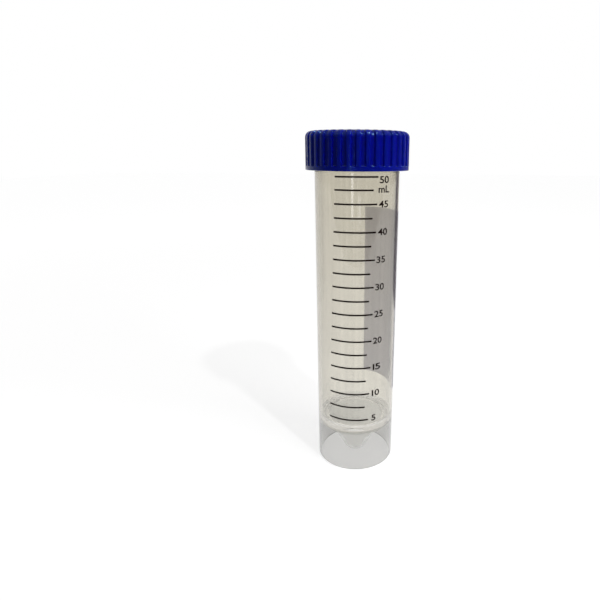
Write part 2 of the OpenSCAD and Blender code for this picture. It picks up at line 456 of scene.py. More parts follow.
def wrap_tree() -> NodeTree:
    """Lays unrolled print on the tapered wall: X runs round the wall, Y out of it and Z up.

    Returns:
        The tree.
    """
    tree, given = new_tree("wrap_on_wall", Float="Foot Radius, Body Radius, Taper Height")
    flat = add(tree, SPLIT, {0: add(tree, PLACE)}).outputs
    share = add(tree, MATH, {0: flat["Z"], 1: given["Taper Height"]}, operation="DIVIDE", use_clamp=True)
    wall = add(tree, MIX, {0: share, 2: given["Foot Radius"], 3: given["Body Radius"]})
    turn = add(tree, MATH, {0: flat["X"], 1: wall}, operation="DIVIDE")
    angle = add(tree, MATH, {0: turn, 1: math.pi / 2}, operation="SUBTRACT")
    radius = add(tree, MATH, {0: wall, 1: flat["Y"]}, operation="ADD")
    position = around_axis(tree, radius, angle, flat["Z"])
    end_tree(tree, add(tree, MOVE, {"Geometry": given["Geometry"], "Position": position}), given["Material"])
    return tree


def surface(name: str) -> tuple[Material, NodeTree, Node, NodeSocket]:
    """Starts a material.

    Args:
        name: Name of the material.

    Returns:
        The material, its tree, its shader and the Object coordinates.
    """
    made = bpy.data.materials.new(name)
    made.use_nodes = True
    tree = made.node_tree
    return made, tree, tree.nodes["Principled BSDF"], add(tree, "ShaderNodeTexCoord").outputs["Object"]


def axis_distance(tree: NodeTree, place: NodeSocket) -> NodeSocket:
    """Adds the nodes that measure the distance from the tube's axis."""
    across = add(tree, VECTORS, {0: place, 1: (1.0, 1.0, 0.0)}, operation="MULTIPLY")
    return add(tree, VECTORS, {0: across}, operation="LENGTH").outputs["Value"]


@dataclass(frozen=True)
class ClearPolypropylene:
    """Clear polypropylene, injection moulded in polished steel, in millimetres."""

    # To the eye: water-clear and thin. The outer skin's tint is painted shade: darker and warmer
    # towards the neck, and darker and greyer in the skirt. Walls seen edge-on are darkened too, a
    # painted shade that grows towards the neck. The outside has a faint wave and faint upright lines,
    # where the melt flowed up the wall, and it's slightly hazier on the wall than on the skirt. The
    # tints lie on the outer skin only, so light that crosses the wall comes out about as written.
    inside: str = "#F6F6F4"
    # Tints of the outer skin: painted shade, darker in the skirt and towards the neck.
    skirt: str = "#B1B0AE"
    low_wall: str = "#E2DED4"
    high_wall: str = "#CEC7B6"
    # Painted shade for walls seen edge-on.
    slanted: str = "#B4B4B4"
    skirt_share: float = 0.13
    wall_share: float = 0.165
    skin_r: float = 13.52
    slant_from: Point = (0.3, 0.75)
    slant_share: Point = (0.25, 1.0)
    line: float = 0.9
    line_stretch: float = 0.01
    line_range: Point = (0.3, 0.7)
    line_depth: float = 0.88
    wave: float = 6.0
    wave_stretch: float = 0.12
    wave_bump: Point = (0.03, 0.1)
    wall_haze: Point = (0.04, 0.09)
    foot_haze: float = 0.02
    ior: float = 1.49
    gloss: float = 0.2

    def material(self, height: float) -> Material:
        """Builds the material.

        Args:
            height: Height in metres over which the tint, painted shade, changes from foot to neck.

        Returns:
            The clear material.
        """
        made, tree, shader, place = surface("clear_polypropylene_moulded")
        up = add(tree, SPLIT, {0: place}).outputs["Z"]
        share = add(tree, MATH, {0: up, 1: height}, operation="DIVIDE", use_clamp=True)
        # Painted shade: the skin's tint runs from the skirt through the low wall to the darker high wall.
        shade_ramp = add(tree, "ShaderNodeValToRGB", {0: share})
        stops = shade_ramp.color_ramp.elements
        stops[0].position, stops[0].color = self.skirt_share, linear(self.skirt)
        stops[1].position, stops[1].color = 1.0, linear(self.high_wall)
        stops.new(self.wall_share).color = linear(self.low_wall)
        wall = add(tree, MATH, {0: share, 1: self.wall_share}, operation="GREATER_THAN")

        drawn = add(tree, "ShaderNodeMapping", {"Vector": place, "Scale": (1.0, 1.0, self.line_stretch)})
        lines = add(tree, NOISE, {"Vector": drawn, "Scale": 1 / (self.line * MM), "Detail": 3.0})
        depth = add(tree, MIX, {0: wall, 2: 1.0, 3: self.line_depth})
        low, high = self.line_range
        faint = add(tree, RANGE, {"Value": lines, "From Min": low, "From Max": high, "To Min": depth,
                    "To Max": 1.0})
        lined = add(tree, MIX, {0: 1.0, 6: shade_ramp, 7: faint}, data_type="RGBA", blend_type="MULTIPLY")

        # Painted shade: walls seen edge-on are darkened towards slanted, more so towards the neck.
        slant = add(tree, "ShaderNodeLayerWeight", {"Blend": 0.5}).outputs["Facing"]
        low, high = self.slant_share
        most = add(tree, RANGE, {"Value": share, "To Min": low, "To Max": high})
        low, high = self.slant_from
        edge_shade = add(tree, RANGE, {"Value": slant, "From Min": low, "From Max": high, "To Max": most})
        edge_shaded = add(tree, MIX, {0: edge_shade, 6: lined.outputs[2], 7: linear(self.slanted)}, data_type="RGBA",
                    blend_type="MULTIPLY")
        skin = add(tree, MATH, {0: axis_distance(tree, place), 1: self.skin_r * MM}, operation="GREATER_THAN")
        tint = add(tree, MIX, {0: skin, 6: linear(self.inside), 7: edge_shaded.outputs[2]}, data_type="RGBA")

        stretched = add(tree, "ShaderNodeMapping", {"Vector": place, "Scale": (1.0, 1.0, self.wave_stretch)})
        wave = add(tree, NOISE, {"Vector": stretched, "Scale": 1 / (self.wave * MM), "Detail": 1.0})
        hazy = add(tree, RANGE, {"Value": wave, "To Min": self.wall_haze[0], "To Max": self.wall_haze[1]})
        rough = add(tree, MIX, {0: wall, 2: self.foot_haze, 3: hazy})
        strength, distance = self.wave_bump
        bump = add(tree, BUMP, {"Height": wave, "Strength": strength, "Distance": distance * MM})
        plug(tree, shader, {
            "Base Color": tint.outputs[2], "Roughness": rough, "Normal": bump, "IOR": self.ior,
            "Specular IOR Level": self.gloss, "Transmission Weight": 1.0,
        })
        return made


@dataclass(frozen=True)
class BluePolyethylene:
    """Blue high-density polyethylene, injection moulded in a lightly spark-eroded tool, in millimetres."""

    # To the eye: a deep, saturated blue that stays blue in its shadows, because light scatters
    # under the skin. The crests of the ribs are slightly worn and lighter, and they carry a faint green
    # that is a painted sheen, which the groove floors don't get. A fine grain softens the highlights,
    # which come out pale blue. The real grain is about 0.1 mm, too fine to show, so it's drawn
    # coarser, at 0.25 mm.
    # The crests' faint green is a painted sheen; the groove floors lack it.
    crest: str = "#030C90"
    crest_worn: str = "#040F98"
    groove: str = "#020296"
    sheen: str = "#9CDCFF"
    softness: float = 1.0
    soft: float = 1.3
    soft_spread: tuple[float, float, float] = (0.1, 0.2, 1.0)
    crest_r: float = 17.25
    groove_r: float = 16.8
    bore_r: float = 15.6
    top_z: float = 115.4
    flow: float = 9.0
    grain: float = 0.25
    grain_bump: Point = (0.25, 0.01)
    satin: Point = (0.15, 0.25)
    gloss: float = 0.32
    coat: Point = (0.08, 0.05)

    def material(self) -> Material:
        """Builds the material.

        Returns:
            The material.
        """
        made, tree, shader, place = surface("blue_polyethylene_moulded")
        flow = add(tree, NOISE, {"Vector": place, "Scale": 1 / (self.flow * MM), "Detail": 2.0})
        crest = add(tree, MIX, {0: flow, 6: linear(self.crest), 7: linear(self.crest_worn)}, data_type="RGBA")
        # Painted sheen: groove floors take the groove colour, without the crests' faint green.
        radius = axis_distance(tree, place)
        low, high = self.groove_r * MM, self.crest_r * MM
        sunk = add(tree, RANGE, {"Value": radius, "From Min": low, "From Max": high, "To Min": 1.0,
                   "To Max": 0.0})
        outer = add(tree, MATH, {0: radius, 1: self.bore_r * MM}, operation="GREATER_THAN")
        up = add(tree, SPLIT, {0: place}).outputs["Z"]
        side = add(tree, MATH, {0: up, 1: self.top_z * MM}, operation="LESS_THAN")
        outside = add(tree, MATH, {0: outer, 1: side}, operation="MULTIPLY")
        shade = add(tree, MATH, {0: sunk, 1: outside}, operation="MULTIPLY")
        tint = add(tree, MIX, {0: shade, 6: crest.outputs[2], 7: linear(self.groove)}, data_type="RGBA")
        grain = add(tree, NOISE, {"Vector": place, "Scale": 1 / (self.grain * MM), "Detail": 3.0})
        rough = add(tree, RANGE, {"Value": grain, "To Min": self.satin[0], "To Max": self.satin[1]})
        strength, distance = self.grain_bump
        bump = add(tree, BUMP, {"Height": grain, "Strength": strength, "Distance": distance * MM})
        plug(tree, shader, {
            "Base Color": tint.outputs[2], "Roughness": rough, "Normal": bump,
            "Subsurface Weight": self.softness, "Subsurface Radius": self.soft_spread,
            "Subsurface Scale": self.soft * MM, "Specular IOR Level": self.gloss,
            "Specular Tint": linear(self.sheen), "Coat Weight": self.coat[0], "Coat Roughness": self.coat[1],
        })
        return made


@dataclass(frozen=True)
class LinerFoam:
    """White foamed polyethylene sheet, punched out, in millimetres."""

    # To the eye: chalky and matt, with the shallow dimples of fine closed cells. The real cells are
    # about 0.1 mm, too fine to show, so they are drawn coarser, at 0.3 mm.
    tone: str = "#E8E8E2"
    shade: str = "#DBDBD3"
    cell: float = 0.3
    cell_bump: Point = (0.3, 0.03)
    rough: float = 0.75

    def material(self) -> Material:
        """Builds the material.

        Returns:
            The material.
        """
        made, tree, shader, place = surface("white_polyethylene_foam_sheet")
        cells = add(tree, "ShaderNodeTexVoronoi", {"Vector": place, "Scale": 1 / (self.cell * MM)})
        tint = add(tree, MIX, {0: cells, 6: linear(self.tone), 7: linear(self.shade)}, data_type="RGBA")
        strength, distance = self.cell_bump
        bump = add(tree, BUMP, {"Height": cells, "Strength": strength, "Distance": distance * MM})
        plug(tree, shader, {"Base Color": tint.outputs[2], "Roughness": self.rough, "Normal": bump})
        return made


@dataclass(frozen=True)
class PrintedInk:
    """Ink printed on the wall with a soft pad, in millimetres."""

    # To the eye: matt and even, with a fine mottle. The black ink is solid with a warm cast. The
    # white ink is thin enough for some light to come through, so it's grey where it's lit from
    # behind. The real mottle is about 0.1 mm, too fine to show, so it's drawn coarser, at 0.5 mm.
    name: str
    tone: str
    shade: str
    through: float = 0.0
    ior: float = 1.45
    rough: float = 0.6
    gloss: float = 0.15
    mottle: float = 0.5
    mottle_bump: Point = (0.3, 0.01)

    def material(self) -> Material:
        """Builds the material.

        Returns:
            The material.
        """
        made, tree, shader, place = surface(self.name)
        mottle = add(tree, NOISE, {"Vector": place, "Scale": 1 / (self.mottle * MM), "Detail": 3.0})
        tint = add(tree, MIX, {0: mottle, 6: linear(self.tone), 7: linear(self.shade)}, data_type="RGBA")
        strength, distance = self.mottle_bump
        bump = add(tree, BUMP, {"Height": mottle, "Strength": strength, "Distance": distance * MM})
        plug(tree, shader, {
            "Base Color": tint.outputs[2], "Roughness": self.rough, "Normal": bump, "IOR": self.ior,
            "Specular IOR Level": self.gloss, "Transmission Weight": self.through,
        })
        return made


def new_piece(name: str, mesh: Mesh, body: Body, node: str | None = None) -> Object:
    """Makes a finished mesh a piece that rides on a body.

    Args:
        name: Name of the piece.
        mesh: Finished mesh, in place.
        body: Body that the piece moves with.
        node: CAD node that the piece stands for, if it stands for one.

    Returns:
        The piece.
    """
    piece = placed(name, mesh)
    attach(piece, body.value)
    if node:
        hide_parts(node)
    log.info("%s: %d faces on %s", name, len(mesh.polygons), body.value)
    return piece


def joined(name: str, base: Mesh, extra: Mesh, crease: float) -> Mesh:
    """Unites two closed meshes and marks the edges that stay sharp.

    Args:
        name: Name of the new mesh.
        base: First mesh.
        extra: Mesh that is added to it.
        crease: Least angle in degrees between two faces that stay sharp.

    Returns:
        The united mesh, smooth but for its sharp edges.
    """
    whole, added = placed("base", base), placed("extra", extra)
    union = whole.modifiers.new("union", "BOOLEAN")
    union.operation, union.solver, union.object = "UNION", "EXACT", added
    made = plain_mesh(name, whole)
    bpy.data.objects.remove(added)
    made.set_sharp_from_angle(angle=math.radians(crease))
    return made


@dataclass
class Thread:
    """One ridge of the screw thread, in millimetres."""

    root_r: float
    start_z: float
    turns: float
    outward: bool
    lead: float = 3.5
    ridge: float = 0.8
    root_w: float = 1.4
    crest_w: float = 0.7
    sink: float = 0.3
    steps_per_turn: int = 96
    fade_turns: float = 0.075
    soft: float = 0.12
    rounding: tuple[Point, ...] = ((2.0, 0.9), (0.5, 0.1), (0.0, -0.8))

    def section(self) -> Outline:
        """Lays out the closed section of the ridge, anticlockwise, with its crest's edges rounded.

        The rounding's points lie down from the crest and out from its edge, as shares of soft.

        Returns:
            Points whose X is the distance from the wall and whose Z is the height.
        """
        side = 1 if self.outward else -1
        wide = self.root_w / 2 + (self.root_w - self.crest_w) / 2 * self.sink / self.ridge
        crest, s = self.crest_w / 2, self.soft
        half = [(-self.sink, wide)] + [(self.ridge - a * s, crest + b * s) for a, b in self.rounding]
        loop = [(x, -z) for x, z in half] + [(x, z) for x, z in reversed(half)]
        loop = [(side * x, side * z) for x, z in loop]
        return loop + loop[:1]

    def mesh(self, tree: NodeTree, material: Material) -> Mesh:
        """Sweeps the section up its helix.

        Args:
            tree: Tree made by ridge_tree.
            material: Finish of the wall that carries the ridge.

        Returns:
            A closed mesh, sunk into its wall.
        """
        points = point_mesh("ridge_section", self.section())
        steps = round(self.turns * self.steps_per_turn)
        side = 1 if self.outward else -1
        return run_tree("thread", points, tree, {
            "Steps": steps, "Fade Steps": self.fade_turns * self.steps_per_turn, "Turns": self.turns,
            "Lead": self.lead * MM, "Start": self.start_z * MM, "Root Radius": self.root_r * MM,
            "Sink": side * self.sink * MM, "Material": material,
        })


@dataclass
class TubeBody:
    """The moulded tube: wall, skirt, hung cone and threaded neck in one piece, in millimetres."""

    finish: ClearPolypropylene
    body_r: float = 14.35
    neck_r: float = 14.15
    foot_r: float = 13.7
    ledge_z: float = 104.1
    rim_z: float = 114.8
    wall: float = 1.0
    skirt_wall: float = 0.9
    edge: float = 0.35
    shoulder_z: float = 14.2
    floor: float = 1.2
    tip_r: float = 5.0
    tip_z: float = 5.5
    cone: float = 60.0
    corner: float = 2.2
    groove: float = 0.8
    lip: float = 0.4
    web: float = 0.3
    broken: float = 0.15
    step: float = 4.0
    crease: float = 38.0
    segments: int = 224
    thread_z: float = 107.4
    thread_turns: float = 1.4

    def wall_r(self, z: float) -> float:
        """Outside radius of the tapered wall at height z."""
        return self.foot_r + (self.body_r - self.foot_r) * min(z, self.ledge_z) / self.ledge_z

    def cone_r(self, r: float, z: float) -> float:
        """Radius at height z of the cone that touches a ball of radius r at the tip."""
        half = math.radians(self.cone / 2)
        return r * math.cos(half) + (z - self.tip_z + r * math.sin(half)) * math.tan(half)

    def outline(self) -> Outline:
        """Lays out half the tube's section, from the cone's tip round to the inside of the tip.

        Returns:
            Points whose X is the radius and whose Z is the height.
        """
        e, g, c, b = self.edge, self.groove, self.corner, self.broken
        inner_r, inner_z = self.tip_r - self.floor, self.shoulder_z + self.floor
        hang_r, mouth_r = self.cone_r(self.tip_r, self.shoulder_z), self.cone_r(inner_r, inner_z)
        skirt_top = self.wall_r(self.shoulder_z - g) - self.wall
        foot_in = self.foot_r - self.skirt_wall
        bore_low, bore = self.wall_r(inner_z + c) - self.wall, self.body_r - self.wall
        reach, slope = 1 / math.tan(math.radians(self.cone)), self.cone / 2
        outside_tip = arc((0, self.tip_z), self.tip_r, -90, -slope, 14)
        outside_tip[0] = (0.0, self.tip_z - self.tip_r)
        web = arc((hang_r + self.web * reach, self.shoulder_z - self.web), self.web, 180 - slope, 90, 4)
        groove = arc((skirt_top - g, self.shoulder_z - g), g, 90, 0, 6)
        foot_inner = arc((foot_in + b, b), b, 180, 270, 3)
        foot = arc((self.foot_r - e, e), e, -90, 0, 6)
        ledge = arc((self.body_r - b, self.ledge_z - b), b, 0, 90, 4) + [(self.neck_r, self.ledge_z)]
        rim = arc((self.neck_r - e, self.rim_z - e), e, 0, 90, 6)
        rim_inner = arc((bore + b, self.rim_z - b), b, 90, 180, 3)
        floor_corner = arc((bore_low - c, inner_z + c), c, 0, -90, 10)
        lip = arc((mouth_r + self.lip * reach, inner_z - self.lip), self.lip, 90, 180 - slope, 5)
        inside_tip = arc((0, self.tip_z), inner_r, -slope, -90, 14)
        inside_tip[-1] = (0.0, self.tip_z - inner_r)
        parts = [outside_tip, web, groove, foot_inner, foot, ledge, rim, rim_inner, [(bore, self.ledge_z)],
                 floor_corner, lip, inside_tip]
        path = list(parts[0])
        for part in parts[1:]:
            path += run(path[-1], part[0], self.step) + part
        return path

    def build(self, lathe: NodeTree, ridge: NodeTree) -> Object:
        """Turns the outline, adds the neck's thread and places the piece.

        Args:
            lathe: Tree made by lathe_tree.
            ridge: Tree made by ridge_tree.

        Returns:
            The tube.
        """
        material = self.finish.material(self.ledge_z * MM)
        points = point_mesh("tube_outline", self.outline())
        wall = run_tree("wall", points, lathe, {"Segments": self.segments, "Material": material})
        thread = Thread(self.neck_r, self.thread_z, self.thread_turns, True)
        mesh = joined("tube", wall, thread.mesh(ridge, material), self.crease)
        return new_piece("tube", mesh, Body.TUBE, "tube_body")


@dataclass
class SealingLiner:
    """The disc that the cap presses on the rim, in millimetres."""

    finish: LinerFoam
    radius: float = 15.0
    low_z: float = 114.8
    high_z: float = 115.6
    edge: float = 0.12
    step: float = 3.0
    crease: float = 50.0
    segments: int = 144

    def build(self, lathe: NodeTree) -> Object:
        """Turns the disc with softened edges and places it.

        Args:
            lathe: Tree made by lathe_tree.

        Returns:
            The liner.
        """
        e, r = self.edge, self.radius
        low = arc((r - e, self.low_z + e), e, -90, 0, 4)
        high = arc((r - e, self.high_z - e), e, 0, 90, 4)
        path = [(0.0, self.low_z)]
        for part in (low, high, [(0.0, self.high_z)]):
            path += run(path[-1], part[0], self.step) + part
        points = point_mesh("liner_outline", path)
        sizes = {"Segments": self.segments, "Material": self.finish.material()}
        mesh = run_tree("liner", points, lathe, sizes)
        mesh.set_sharp_from_angle(angle=math.radians(self.crease))
        return new_piece("liner", mesh, Body.LINER, "sealing_liner")


@dataclass
class ScrewCap:
    """The ribbed cap with its inner thread and the bead that holds the liner, in millimetres."""

    finish: BluePolyethylene
    cap_r: float = 17.35
    bore_r: float = 15.25
    bead: tuple[Outline, ...] = (
        [(0.0, -0.03), (-0.42, -0.1), (-0.5, -0.18)], [(-0.5, -0.32), (-0.44, -0.42)], [(0.0, -0.7)],
    )
    low_z: float = 104.5
    top_z: float = 117.0
    plate_z: float = 115.6
    rim_z: float = 114.8
    top_round: float = 2.0
    band: float = 1.35
    soft: float = 0.15
    depth: float = 0.7
    ramp: float = 0.6
    ramp_guard: float = 0.02
    grooves: int = 36
    groove: tuple[Point, ...] = (
        (0.0, 1.0), (0.44, 1.0), (0.56, 0.97), (0.65, 0.84), (0.77, 0.36), (0.84, 0.16), (0.94, 0.03),
        (1.08, 0.0),
    )
    phase: float = 6.2
    gate_r: float = 1.6
    gate_depth: float = 0.3
    gate_soft: float = 0.1
    inner_step: float = 2.0
    band_step: float = 1.0
    band_guard: float = 0.1
    plate_step: float = 2.5
    gate_step: float = 0.6
    edge_steps: int = 3
    ramp_steps: int = 6
    wall_steps: int = 5
    top_steps: int = 12
    crease: float = 40.0
    thread_z: float = 105.65
    thread_turns: float = 1.25

    def section(self) -> Outline:
        """Lays out one pitch of the grooved rim, from a groove's middle to the next.

        Returns:
            Points whose X is a share of the pitch and whose Z is a share of the depth.
        """
        pitch = math.tau * self.cap_r / self.grooves
        whole = [*self.groove, (pitch / 2, 0.0)] + [(pitch - x, d) for x, d in reversed(self.groove[1:])]
        return [(x / pitch, d) for x, d in whole]

    def outline(self) -> tuple[Outline, Outline]:
        """Lays out half the cap's section over a rib, and the matching one over a groove.

        Returns:
            The two outlines, point for point, whose X is the radius and whose Z is the height.
        """
        r, top, t, b = self.cap_r, self.top_z, self.top_round, self.soft
        groove_r, band_z = r - self.depth, self.low_z + self.band
        inside: Outline = [(0.0, self.plate_z)]
        corners = [
            [(self.bore_r - b, self.plate_z), (self.bore_r, self.plate_z - b)],
            *([(self.bore_r + out, self.rim_z + up) for out, up in part] for part in self.bead),
            arc((self.bore_r + b, self.low_z + b), b, 180, 270, self.edge_steps),
            arc((r - b, self.low_z + b), b, -90, 0, self.edge_steps),
        ]
        for part in corners:
            inside += run(inside[-1], part[0], self.inner_step) + part
        inside += run(inside[-1], (r, band_z), self.band_step, self.band_guard) + [(r, band_z)]
        count, guard = self.ramp_steps, self.ramp_guard
        ramp = arc((groove_r + self.ramp, band_z + self.ramp), self.ramp, 270, 180, count)
        ribs = inside + [(r, band_z + guard + (self.ramp - guard) * i / count) for i in range(count + 1)]
        floors = inside + ramp
        turn = t + self.depth / 2
        turn_r, turn_z = groove_r - turn, top - turn
        for i in range(1, self.wall_steps):
            z = ramp[-1][1] + (turn_z - ramp[-1][1]) * i / self.wall_steps
            ribs.append((r, z))
            floors.append((groove_r, z))
        rib_top = [(r, turn_z)] + arc((r - t, top - t), t, 0, 90, self.top_steps) + [(turn_r, top)]
        lengths = [0.0]
        for start, end in zip(rib_top, rib_top[1:]):
            lengths.append(lengths[-1] + math.dist(start, end))
        for point, along in zip(rib_top, lengths):
            angle = math.radians(90 * along / lengths[-1])
            ribs.append(point)
            floors.append((turn_r + turn * math.cos(angle), turn_z + turn * math.sin(angle)))
        g, low = self.gate_soft, top - self.gate_depth
        gate = arc((self.gate_r + g, top - g), g, 90, 180, self.edge_steps)
        gate += arc((self.gate_r - g, low + g), g, 0, -90, self.edge_steps)
        plate = run(ribs[-1], gate[0], self.plate_step) + gate
        plate += run(plate[-1], (0.0, low), self.gate_step) + [(0.0, low)]
        return ribs + plate, floors + plate

    def build(self, ribbed: NodeTree, ridge: NodeTree) -> Object:
        """Turns the grooved outline, adds the inner thread and places the piece.

        Args:
            ribbed: Tree made by ribbed_tree.
            ridge: Tree made by ridge_tree.

        Returns:
            The cap.
        """
        material = self.finish.material()
        ribs, floors = self.outline()
        points = point_mesh("cap_outline", ribs)
        inward = points.attributes.new("groove", "FLOAT_VECTOR", "POINT")
        for item, a, b in zip(inward.data, ribs, floors):
            item.vector = ((b[0] - a[0]) * MM, 0.0, (b[1] - a[1]) * MM)
        section = placed("groove_section", point_mesh("groove_section", self.section(), 1.0))
        shell = run_tree("shell", points, ribbed, {
            "Section": section, "Grooves": self.grooves, "Phase": math.radians(self.phase),
            "Material": material,
        })
        bpy.data.objects.remove(section)
        thread = Thread(self.bore_r, self.thread_z, self.thread_turns, False)
        mesh = joined("cap", shell, thread.mesh(ridge, material), self.crease)
        return new_piece("cap", mesh, Body.CAP, "screw_cap")


@dataclass
class PrintedScale:
    """The print on the wall: volume marks, their numbers and the writing panel, in millimetres.

    Every part is laid out unrolled first, with X round the wall from the front, and then wrapped.
    """

    black: PrintedInk
    white: PrintedInk
    tube: TubeBody
    low: float = -0.06
    high: float = 0.025
    crease: float = 40.0
    count: int = 19
    columns: int = 33
    top_z: float = 103.06
    spacing: float = 4.405
    growth: float = 0.0287
    first_drop: float = 0.28
    line: float = 0.55
    left: float = -7.3
    long_end: float = 6.95
    short_end: float = 5.5
    lean: float = 0.0288
    digit_h: float = 2.25
    bold: float = 0.017
    strip: float = 0.25
    strips: tuple[int, int] = (-10, 61)
    panel: tuple[float, float, float, float] = (18.95, 40.85, 25.9, 90.8)
    panel_lean: float = 0.0205
    panel_cuts: int = 47
    numbers: tuple[tuple[str, float, float, float], ...] = (
        ("50", 7.5, 11.2, 101.9), ("mL", 7.1, 11.4, 98.95), ("45", 7.3, 11.1, 94.2), ("40", 7.1, 10.9, 85.3),
        ("35", 6.75, 10.25, 76.2), ("30", 6.5, 9.95, 67.0), ("25", 6.3, 9.7, 57.7), ("20", 5.95, 9.4, 48.3),
        ("1", 5.97, 6.6, 38.8), ("5", 6.9, 9.0, 38.8), ("1", 5.75, 6.33, 29.1), ("0", 6.85, 8.75, 29.1),
        ("5", 5.75, 7.4, 19.7),
    )

    def wrapped(self, name: str, mesh: Mesh, tree: NodeTree, ink: Material) -> Object:
        """Wraps unrolled print on the wall and places it.

        Args:
            name: Name of the piece.
            mesh: Unrolled print.
            tree: Tree made by wrap_tree.
            ink: Its finish.

        Returns:
            The piece.
        """
        made = run_tree(name, mesh, tree, {
            "Foot Radius": self.tube.foot_r * MM, "Body Radius": self.tube.body_r * MM,
            "Taper Height": self.tube.ledge_z * MM, "Material": ink,
        })
        made.set_sharp_from_angle(angle=math.radians(self.crease))
        return new_piece(name, made, Body.TUBE)

    def marks(self, tree: NodeTree, ink: Material) -> Mesh:
        """Lays out the marks from the top down, long and short in turn.

        Args:
            tree: Tree made by marks_tree.
            ink: Their finish.

        Returns:
            The marks, unrolled.
        """
        sizes = {
            "Top": self.top_z, "Spacing": self.spacing, "Growth": self.growth, "First Drop": self.first_drop,
            "Left": self.left, "Long End": self.long_end, "Short End": self.short_end, "Line": self.line,
            "Low": self.low, "High": self.high,
        }
        return run_tree("marks", point_mesh("no_points", []), tree, {
            "Count": self.count, "Columns": self.columns, "Lean": self.lean, "Material": ink,
            **{k: v * MM for k, v in sizes.items()},
        })

    def words(self) -> Mesh:
        """Lays out the numbers and the unit, and cuts them into strips narrow enough to bend.

        Returns:
            The numbers, unrolled.
        """
        whole = bmesh.new()
        # Each text gets some depth first, and low and high then replace it.
        for text, start, end, middle in self.numbers:
            curve = bpy.data.curves.new("number", "FONT")
            curve.body, curve.offset, curve.extrude = text, self.bold, 0.5
            mesh = plain_mesh("number", placed("number", curve))
            xs, ys = [v.co.x for v in mesh.vertices], [v.co.y for v in mesh.vertices]
            wide, high = max(xs) - min(xs), max(ys) - min(ys)
            for v in mesh.vertices:
                v.co = Vector((
                    (start + (v.co.x - min(xs)) / wide * (end - start)) * MM,
                    (self.low if v.co.z < 0 else self.high) * MM,
                    (middle + ((v.co.y - min(ys)) / high - 0.5) * self.digit_h) * MM,
                ))
            whole.from_mesh(mesh)
            bpy.data.meshes.remove(mesh)
        bmesh.ops.remove_doubles(whole, verts=whole.verts, dist=MERGE)
        for i in range(*self.strips):
            cut = {"geom": [*whole.verts, *whole.edges, *whole.faces], "plane_no": (1, 0, 0)}
            bmesh.ops.bisect_plane(whole, plane_co=(i * self.strip * MM, 0, 0), **cut)
        bmesh.ops.recalc_face_normals(whole, faces=whole.faces)
        return shaped("numbers", whole)

    def writing_panel(self) -> Mesh:
        """Lays out the panel as a thin slab, cut fine enough to bend.

        Returns:
            The panel, unrolled.
        """
        left, right, low, high = self.panel
        shape = bmesh.new()
        bmesh.ops.create_cube(shape, size=1.0)
        edges = [e for e in shape.edges if abs(e.verts[0].co.x - e.verts[1].co.x) > 0.5]
        bmesh.ops.subdivide_edges(shape, edges=edges, cuts=self.panel_cuts)
        wide, tall = right - left, high - low
        for v in shape.verts:
            v.co = Vector((
                (left + (v.co.x + 0.5) * wide + v.co.z * tall * self.panel_lean) * MM,
                (self.low if v.co.y < 0 else self.high) * MM,
                (low + (v.co.z + 0.5) * tall) * MM,
            ))
        return shaped("panel", shape)

    def build(self, marks: NodeTree, wrap: NodeTree) -> None:
        """Builds and places the marks, the numbers and the panel.

        Args:
            marks: Tree made by marks_tree.
            wrap: Tree made by wrap_tree.
        """
        black, white = self.black.material(), self.white.material()
        self.wrapped("scale_marks", self.marks(marks, black), wrap, black)
        self.wrapped("scale_numbers", self.words(), wrap, black)
        self.wrapped("writing_panel", self.writing_panel(), wrap, white)


@dataclass(frozen=True)
class Lamp:
    """A rectangular studio lamp that faces a point, in metres.

    A lamp that isn't mirrored lights the surfaces and leaves no image on them. One that doesn't
    light leaves only its image, as a glint.
    """

    name: str
    place: tuple[float, float, float]
    target: tuple[float, float, float]
    size: Point
    radiance: float
    mirrored: bool = True
    lights: bool = True

    def build(self) -> None:
        """Builds the lamp, with its power worked out from its radiance and its area."""
        light = bpy.data.lights.new(self.name, "AREA")
        light.shape, (light.size, light.size_y) = "RECTANGLE", self.size
        light.energy = self.radiance * math.pi * self.size[0] * self.size[1]
        lamp = placed(self.name, light)
        lamp.location = self.place
        lamp.rotation_euler = (Vector(self.target) - lamp.location).to_track_quat("-Z", "Y").to_euler()
        lamp.visible_glossy, lamp.visible_diffuse = self.mirrored, self.lights
        lamp.visible_transmission = False


